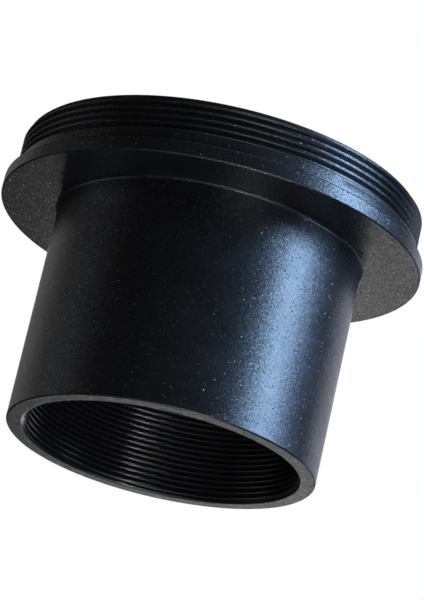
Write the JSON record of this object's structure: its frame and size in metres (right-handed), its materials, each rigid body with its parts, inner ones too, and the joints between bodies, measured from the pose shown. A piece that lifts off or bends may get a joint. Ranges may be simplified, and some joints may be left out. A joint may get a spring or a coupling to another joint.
{
  "type": "barlow lens nosepiece",
  "caption": "Short black telescope nosepiece with a plain barrel, thin flange and fine camera thread, holding a negative lens group in a screw-in cell.",
  "frame": {"origin": "centre of the camera end, on the optical axis", "axes": "+Z along the optical axis from the camera end to the open mouth of the barrel, +X through the spanner slots of the rings"},
  "size_m": [0.0438, 0.0438, 0.0299],
  "materials": {
    "anodised_body": "bead blasted and black anodised, satin with fine glitter",
    "matt_black_ring": "matt black paint",
    "anodised_cell": "turned and black anodised, satin",
    "anodised_ring": "turned and black anodised, satin",
    "anodised_lock_ring": "turned and black anodised, satin",
    "cushion_plastic": "matt black",
    "spacer_plastic": "matt black",
    "flint_glass": "polished and coated",
    "crown_glass": "polished and coated"
  },
  "bodies": {
    "nosepiece": {"nosepiece_body": "anodised_body", "glare_stop": "matt_black_ring"},
    "lens_group": {"crown_element": "crown_glass", "flint_element": "flint_glass", "element_spacer": "spacer_plastic", "seat_cushion": "cushion_plastic"},
    "cell": {"lens_cell": "anodised_cell", "retaining_ring": "anodised_ring"},
    "lock_ring": {"lock_ring": "anodised_lock_ring"}
  },
  "joints": [
    {"name": "cell_travel", "type": "slide", "parent": "nosepiece", "child": "lens_group", "axis": [0, 0, 1], "range_m": [0, 0.003]},
    {"name": "cell_turn", "type": "hinge", "parent": "lens_group", "child": "cell", "pos_m": [0, 0, 0.0074], "axis": [0, 0, 1], "range_deg": [0, 1800]},
    {"name": "lock_ring_back_off", "type": "slide", "parent": "cell", "child": "lock_ring", "axis": [0, 0, 1], "range_m": [0, 0.0018]}
  ],
  "couplings": [
    {"joint": "cell_travel", "follows": "cell_turn", "m_per_rad": 0.000095493}
  ]
}
